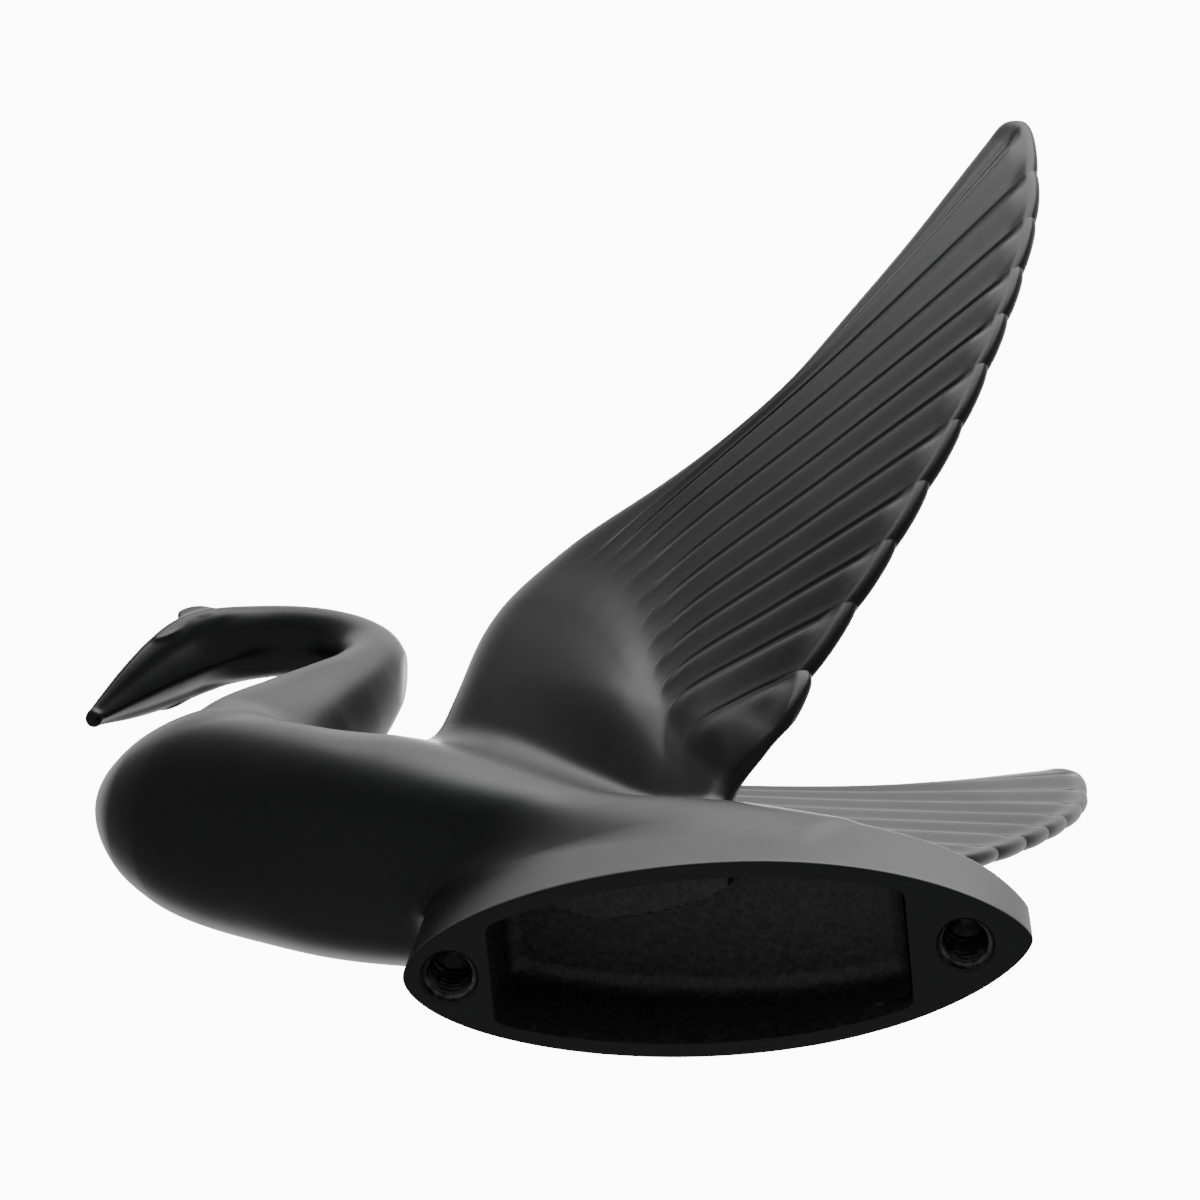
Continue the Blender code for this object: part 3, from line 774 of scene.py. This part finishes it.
def pocket_ring(inset, height, hangs):
    """Closed ring round the pocket, at a height above the foot's face or, where it hangs, from the roof."""
    x, half = pocket_columns(inset)
    share = np.linspace(1, -1, POCKET_SPAN)[1:-1]
    left = np.stack([x, half], axis=1)
    rear = np.stack([np.full(len(share), x[-1]), half[-1] * share], axis=1)
    right = np.stack([x[::-1], -half[::-1]], axis=1)
    front = np.stack([np.full(len(share), x[0]), -half[0] * share], axis=1)
    flat = np.concatenate([left, rear, right, front])
    roof = pocket_roof(flat[:, 0], flat[:, 1])
    z = roof + height if hangs else np.full(len(flat), height)
    return np.column_stack([flat, z])


def build_pocket(builder):
    roof_inset = 3.2
    rings = [(0.0, 0.0, False), (0.12, 0.35, False), (0.25, 4.0, False)]
    rings += [(0.5, -9.0 + 2.0 * k, True) for k in range(4)]
    rings += [(0.75, -2.0, True), (1.2, -1.1, True), (2.0, -0.4, True), (roof_inset, 0.0, True)]
    made = [builder.ring(pocket_ring(*ring)) for ring in rings]
    for low, high in zip(made, made[1:]):
        builder.band(low, high, POCKET)
    # roof, one row of points across for each station
    x, half = pocket_columns(roof_inset)
    n = len(x)
    last = made[-1]
    rows = []
    ends = POCKET_SPAN - 2
    rear_end = last[n:n + ends]
    front_end = last[2 * n + ends:][::-1]
    for c in range(n):
        left = last[c]
        right = last[n + ends + (n - 1 - c)]
        if c == 0:
            between = front_end
        elif c == n - 1:
            between = rear_end
        else:
            y = half[c] * np.linspace(1, -1, POCKET_SPAN)[1:-1]
            xs = np.full(ends, x[c])
            between = builder.ring(np.column_stack([xs, y, pocket_roof(xs, y)]))
        rows.append([left, *between, right])
    for a, b in zip(rows, rows[1:]):
        for k in range(POCKET_SPAN - 1):
            builder.face((a[k], b[k], b[k + 1], a[k + 1]), POCKET)
    return made[0]


def build_thread(builder, centre_x, around=72):
    """Chamfered mouth, short counterbore, helical thread and drill point. Returns the mouth's ring."""
    angle = np.linspace(0, 2 * math.pi, around, endpoint=False)
    major = HOLE_MAJOR / 2
    minor = HOLE_MINOR / 2
    rings = [(0.0, major + HOLE_CHAMFER), (HOLE_CHAMFER, major + 0.02), (1.15, major), (1.3, major - 0.05)]
    turns = (HOLE_DEPTH - THREAD_END - THREAD_START) / PITCH
    per_turn = 12
    for k in range(int(turns * per_turn) + 1):
        z = THREAD_START + k * PITCH / per_turn
        phase = (k / per_turn - angle / (2 * math.pi)) % 1.0
        groove = 1 - np.abs(2 * phase - 1)
        groove = (ramp(groove, 0.08, 0.95) + np.clip((groove - 0.08) / 0.87, 0, 1)) / 2
        rings.append((z, minor + (major - minor) * groove))
    deep = rings[-1][0]
    rings += [(deep + 0.3, minor), (deep + 1.4, minor - 0.1), (deep + 2.2, minor * 0.5)]
    made = []
    for z, radius in rings:
        ring = [centre_x + radius * np.cos(angle), radius * np.sin(angle), np.full(around, z)]
        made.append(builder.ring(np.column_stack(ring)))
    for k, (low, high) in enumerate(zip(made, made[1:])):
        builder.band(low, high, COAT if k < 1 else THREAD)
    tip = builder.ring([(centre_x, 0.0, deep + 2.9)])[0]
    top = made[-1]
    for i in range(around):
        builder.face((top[i], top[(i + 1) % around], tip), THREAD)
    return made[0]


def build_land(builder, outer, holes):
    """Flat underside between the foot's rim and its openings."""
    names = list(outer)
    edges = [(k, (k + 1) % len(outer)) for k in range(len(outer))]
    for hole in holes:
        first = len(names)
        names += hole
        edges += [(first + k, first + (k + 1) % len(hole)) for k in range(len(hole))]
    flat = [Vector(builder.points[i][:2]) for i in names]
    verts, _, faces, origin, _, _ = delaunay_2d_cdt(flat, edges, [], 0, 1e-5)
    back = [names[o[0]] for o in origin]
    centres = np.array([sum((verts[i] for i in face), Vector((0, 0))) / len(face) for face in faces])
    rim, *openings = [np.array([builder.points[i][:2] for i in loop]) for loop in (outer, *holes)]
    metal = within(rim, centres)
    for opening in openings:
        metal &= ~within(opening, centres)
    for face, kept in zip(faces, metal):
        if kept:
            builder.face([back[i] for i in face], COAT)


def build_body():
    points, faces, normals, loop = body_surface()
    builder = Builder(points, faces)
    blended = len(faces)
    top = np.array([points[i] for i in loop])
    turn = np.roll(top, -1, axis=0) - np.roll(top, 1, axis=0)
    out = np.column_stack([turn[:, 1], -turn[:, 0]])
    out /= np.linalg.norm(out, axis=1)[:, None]
    before = list(loop)
    soft = 0.25
    steps = [(5.0, 0.0), (3.0, 0.0), (1.5, 0.0), (RIM_CHAMFER + soft, 0.0), (RIM_CHAMFER, 0.04),
             (RIM_CHAMFER * 0.5, 0.16), (0.18, 0.32), (0.05, 0.5), (0.0, 0.75)]
    for z, pull in steps:
        growth = (FOOT_CUT - z) * FOOT_DRAFT - pull
        ring = np.column_stack([top[:, :2] + out * growth, np.full(len(top), z)])
        after = builder.ring(ring)
        builder.band(after, before, COAT)
        before = after
    pocket = build_pocket(builder)
    mouths = [build_thread(builder, sign * HOLE_SPACING / 2) for sign in (-1.0, 1.0)]
    build_land(builder, before, [pocket, *mouths])

    mesh = make_mesh("body_casting_skin", np.array(builder.points), builder.faces)
    mesh.polygons.foreach_set("material_index", builder.kinds)
    mesh.set_sharp_from_angle(angle=math.radians(38))
    corners = np.empty(len(mesh.loops) * 3, np.float32)
    mesh.corner_normals.foreach_get("vector", corners)
    corners = corners.reshape(-1, 3)
    order = np.empty(len(mesh.loops), int)
    mesh.loops.foreach_get("vertex_index", order)
    totals = np.array([len(face) for face in builder.faces[:blended]])
    soft_corners = int(totals.sum())
    corners[:soft_corners] = normals[order[:soft_corners]]
    mesh.normals_split_custom_set(corners.tolist())
    return mesh


# ---- meshes in the row frame
def make_mesh(name, points, faces):
    """Millimetre points to a smooth mesh in the row frame, its normals outward."""
    mesh = bpy.data.meshes.new(name)
    placed = (points + np.array([ORIGIN_X, 0.0, 0.0])) * MM
    mesh.from_pydata(placed.tolist(), [], faces)
    work = bmesh.new()
    work.from_mesh(mesh)
    bmesh.ops.recalc_face_normals(work, faces=work.faces)
    work.to_mesh(mesh)
    work.free()
    mesh.polygons.foreach_set("use_smooth", [True] * len(mesh.polygons))
    return mesh


def build_wing(sign):
    """One wing, its root drawn on to the surface that blends it into the body."""
    outer, inner = wing_grid(True, 112)
    columns, rows = outer.shape[:2]
    out = np.array(WING_NORMAL)
    run = np.array(JOINT_RUN)
    # the root's vertices move out of the wing, and near its front and rear edges along the body
    tilt = 1 - np.minimum(np.arange(columns), EDGE_COLUMNS)[:, None, None] / EDGE_COLUMNS
    for skin, away in ((outer, out), (inner, -out)):
        direction = np.broadcast_to(away, skin.shape)
        direction = direction * (1 - tilt) - run * tilt
        direction = direction * (1 - tilt[::-1]) + run * tilt[::-1]
        direction /= np.linalg.norm(direction, axis=2)[..., None]
        low = above_joint(skin) < 15.0
        points = skin[low]
        push = direction[low]
        travel = np.zeros(len(points))
        for _ in range(6):
            travel -= whole_field(points + push * travel[:, None])
            travel = np.clip(travel, -0.4, 6.0)
        travel *= 1 - ramp(above_joint(points), 5.0, 14.0)
        skin[low] = points + push * travel[:, None]
    points = np.concatenate([outer.reshape(-1, 3), inner.reshape(-1, 3)])
    points[:, 1] *= sign
    work = bmesh.new()
    vertices = [work.verts.new(p) for p in points]
    shift = columns * rows
    for face in skin_faces(columns, rows, shift):
        work.faces.new([vertices[i] for i in face])
    bmesh.ops.remove_doubles(work, verts=work.verts, dist=2e-3)
    bmesh.ops.dissolve_degenerate(work, edges=work.edges, dist=1e-4)
    bmesh.ops.recalc_face_normals(work, faces=work.faces)
    work.verts.index_update()
    points = np.array([v.co for v in work.verts])
    faces = [tuple(v.index for v in f.verts) for f in work.faces]
    work.free()
    side = "right" if sign > 0 else "left"
    mesh = make_mesh(side + "_wing_skin", points, faces)
    mesh.set_sharp_from_angle(angle=math.radians(70))
    return mesh


def add_object(name, data):
    made = bpy.data.objects.new(name, data)
    bpy.context.scene.collection.objects.link(made)
    return made


def place(name, mesh, materials, node, slot):
    """A piece in the frame, standing for its CAD node."""
    piece = add_object(name, mesh)
    for material in materials:
        mesh.materials.append(material)
    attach(piece, "root")
    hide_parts(node)


# ---- finishes
class Nodes:
    """A material's node tree with short calls to add and join nodes."""

    def __init__(self, name, colour, roughness, metallic=0.0, specular=0.5):
        self.material = bpy.data.materials.new(name)
        self.material.use_nodes = True
        self.tree = self.material.node_tree
        self.shader = self.tree.nodes["Principled BSDF"]
        self.shader.inputs["Base Color"].default_value = (*colour, 1.0)
        self.shader.inputs["Roughness"].default_value = roughness
        self.shader.inputs["Metallic"].default_value = metallic
        self.shader.inputs["Specular IOR Level"].default_value = specular
        self.place = self.tree.nodes.new("ShaderNodeTexCoord").outputs["Object"]

    def link(self, source, target):
        self.tree.links.new(source, target)

    def noise(self, scale, detail=3.0, roughness=0.55):
        node = self.tree.nodes.new("ShaderNodeTexNoise")
        node.inputs["Scale"].default_value = scale
        node.inputs["Detail"].default_value = detail
        node.inputs["Roughness"].default_value = roughness
        self.link(self.place, node.inputs["Vector"])
        return node.outputs["Fac"]

    def scale(self, value, low, high, new_low, new_high):
        node = self.tree.nodes.new("ShaderNodeMapRange")
        node.inputs["From Min"].default_value = low
        node.inputs["From Max"].default_value = high
        node.inputs["To Min"].default_value = new_low
        node.inputs["To Max"].default_value = new_high
        self.link(value, node.inputs["Value"])
        return node.outputs["Result"]

    def mix(self, share, first, second):
        node = self.tree.nodes.new("ShaderNodeMix")
        node.data_type = "RGBA"
        node.inputs[6].default_value = (*first, 1.0)
        node.inputs[7].default_value = (*second, 1.0)
        self.link(share, node.inputs["Factor"])
        return node.outputs[2]

    def bump(self, height, distance, strength, below=None):
        node = self.tree.nodes.new("ShaderNodeBump")
        node.inputs["Strength"].default_value = strength
        node.inputs["Distance"].default_value = distance
        self.link(height, node.inputs["Height"])
        if below:
            self.link(below, node.inputs["Normal"])
        return node.outputs["Normal"]


def satin_black(name):
    """Powder coat: near black, very fine grain, slightly uneven gloss."""
    n = Nodes(name, COAT_COLOUR, COAT_ROUGHNESS, specular=COAT_SPECULAR)
    patches = n.noise(38.0, 4.0)
    grain = n.noise(2600.0, 2.0)
    ripple = n.noise(520.0, 2.0)
    n.link(n.mix(n.scale(patches, 0.35, 0.65, 0.0, 1.0), COAT_COLOUR, COAT_DUSTY),
           n.shader.inputs["Base Color"])
    n.link(n.scale(patches, 0.3, 0.7, COAT_ROUGHNESS - 0.03, COAT_ROUGHNESS + 0.04),
           n.shader.inputs["Roughness"])
    normal = n.bump(ripple, 0.00002, 0.25)
    n.link(n.bump(grain, 0.000012, 0.5, normal), n.shader.inputs["Normal"])
    return n.material


def cast_pocket():
    """Unfinished casting in the hollow: the same coat over a coarse sandy skin."""
    n = Nodes("black_cast_hollow", COAT_COLOUR, 0.55, specular=0.5)
    coarse = n.noise(900.0, 4.0, 0.7)
    fine = n.noise(2600.0, 3.0, 0.7)
    n.link(n.mix(n.scale(coarse, 0.4, 0.7, 0.0, 1.0), COAT_COLOUR, (0.028, 0.028, 0.029)),
           n.shader.inputs["Base Color"])
    n.link(n.scale(fine, 0.3, 0.7, 0.36, 0.62), n.shader.inputs["Roughness"])
    n.link(n.bump(fine, 0.0001, 0.5, n.bump(coarse, 0.00025, 0.8)), n.shader.inputs["Normal"])
    return n.material


def thread_metal():
    """Tapped holes: coat worn thin on the crests of the thread."""
    n = Nodes("black_thread", (0.03, 0.03, 0.031), 0.34, metallic=0.35)
    wear = n.noise(700.0, 4.0)
    n.link(n.mix(n.scale(wear, 0.42, 0.62, 0.0, 1.0), (0.014, 0.014, 0.015), (0.075, 0.074, 0.072)),
           n.shader.inputs["Base Color"])
    n.link(n.scale(wear, 0.3, 0.7, 0.26, 0.46), n.shader.inputs["Roughness"])
    n.link(n.bump(wear, 0.00003, 0.4), n.shader.inputs["Normal"])
    return n.material


def ground_steel():
    """Dowels between wings and body."""
    n = Nodes("ground_dowel_steel", (0.46, 0.46, 0.47), 0.3, metallic=1.0)
    lines = n.noise(1500.0, 2.0)
    n.link(n.mix(n.scale(lines, 0.3, 0.7, 0.0, 1.0), (0.40, 0.40, 0.41), (0.52, 0.52, 0.53)),
           n.shader.inputs["Base Color"])
    n.link(n.scale(lines, 0.3, 0.7, 0.24, 0.38), n.shader.inputs["Roughness"])
    return n.material


def pale_floor():
    n = Nodes("pale_floor", (0.6, 0.6, 0.6), 0.8, specular=0.2)
    n.link(n.mix(n.scale(n.noise(3.0), 0.3, 0.7, 0.0, 1.0), FLOOR_LOW, FLOOR_HIGH),
           n.shader.inputs["Base Color"])
    return n.material


# ---- the ornament
coat = satin_black("satin_black_coat")
place("body_casting_skin", build_body(), [coat, cast_pocket(), thread_metal()], "body_casting", "black_coat")
place("right_wing_skin", build_wing(1.0), [coat], "right_wing", "right_wing_coat")
place("left_wing_skin", build_wing(-1.0), [coat], "left_wing", "left_wing_coat")
steel = ground_steel()
for name, node in frame["nodes"].items():
    if name.endswith("_dowel"):
        node.data.materials.clear()
        node.data.materials.append(steel)


# ---- floor, light and camera
def build_floor():
    mesh = bpy.data.meshes.new("studio_floor")
    work = bmesh.new()
    bmesh.ops.create_grid(work, x_segments=24, y_segments=24, size=FLOOR_SIZE / 2)
    for vertex in work.verts:
        reach = max(vertex.co.xy.length - FLOOR_SIZE * 0.36, 0.0)
        vertex.co.z = FLOOR_HEIGHT + FLOOR_RISE * reach ** 2
    work.to_mesh(mesh)
    work.free()
    mesh.polygons.foreach_set("use_smooth", [True] * len(mesh.polygons))
    mesh.materials.append(pale_floor())
    return add_object("studio_floor", mesh)


def soft_light(name, spot, target, size, power):
    data = bpy.data.lights.new(name, "AREA")
    data.shape = "RECTANGLE"
    data.size, data.size_y = size
    data.energy = power
    light = add_object(name, data)
    light.location = spot
    light.rotation_mode = "QUATERNION"
    light.rotation_quaternion = (target - spot).to_track_quat("-Z", "Y")


build_floor()

world = bpy.data.worlds.new("studio_white")
bpy.context.scene.world = world
world.use_nodes = True

# the view's own directions: back to the camera, right and top of the picture
back = Vector((math.sin(VIEW_AZIMUTH) * math.cos(VIEW_ELEVATION),
               -math.cos(VIEW_AZIMUTH) * math.cos(VIEW_ELEVATION),
               math.sin(VIEW_ELEVATION)))
level = Vector((math.cos(VIEW_AZIMUTH), math.sin(VIEW_AZIMUTH), 0.0))
upward = back.cross(level)
right = math.cos(VIEW_ROLL) * level + math.sin(VIEW_ROLL) * upward
top = math.cos(VIEW_ROLL) * upward - math.sin(VIEW_ROLL) * level
eye = (right * VIEW_AIM[0] + top * VIEW_AIM[1] + back * VIEW_DISTANCE + Vector((ORIGIN_X, 0, 0))) * MM

camera_data = bpy.data.cameras.new("photo_view")
camera_data.lens = LENS
camera_data.sensor_width = 36.0
camera_data.clip_end = 50.0
camera = add_object("photo_view", camera_data)
pose = Matrix((right, top, back)).transposed().to_4x4()
pose.translation = eye
camera.matrix_world = pose
bpy.context.scene.camera = camera


def light_world(tree, towards):
    """Pale surround, with bright soft zones behind the ornament as the photo sees it."""
    background = tree.nodes["Background"]
    background.inputs["Color"].default_value = (1.0, 1.0, 1.0, 1.0)
    direction = tree.nodes.new("ShaderNodeTexCoord").outputs["Generated"]
    dot = tree.nodes.new("ShaderNodeVectorMath")
    dot.operation = "DOT_PRODUCT"
    dot.inputs[1].default_value = towards
    tree.links.new(direction, dot.inputs[0])
    total = None
    for full, edge, light in CEILING_ZONES:
        zone = tree.nodes.new("ShaderNodeMapRange")
        zone.interpolation_type = "SMOOTHSTEP"
        zone.inputs["From Min"].default_value = math.cos(math.radians(edge))
        zone.inputs["From Max"].default_value = math.cos(math.radians(full))
        base = 0.0 if total else SURROUND
        zone.inputs["To Min"].default_value = base
        zone.inputs["To Max"].default_value = base + light
        tree.links.new(dot.outputs["Value"], zone.inputs["Value"])
        if total:
            add = tree.nodes.new("ShaderNodeMath")
            tree.links.new(total, add.inputs[0])
            tree.links.new(zone.outputs["Result"], add.inputs[1])
            total = add.outputs["Value"]
        else:
            total = zone.outputs["Result"]
    tree.links.new(total, background.inputs["Strength"])


light_world(world.node_tree, -back)

middle = (Vector(CAD_BOX[0]) + Vector(CAD_BOX[1])) / 2
key_place = middle + right * KEY_PLACE[0] + top * KEY_PLACE[1] + back * KEY_PLACE[2]
soft_light("key_softbox", key_place, middle, KEY_SIZE, KEY_POWER)
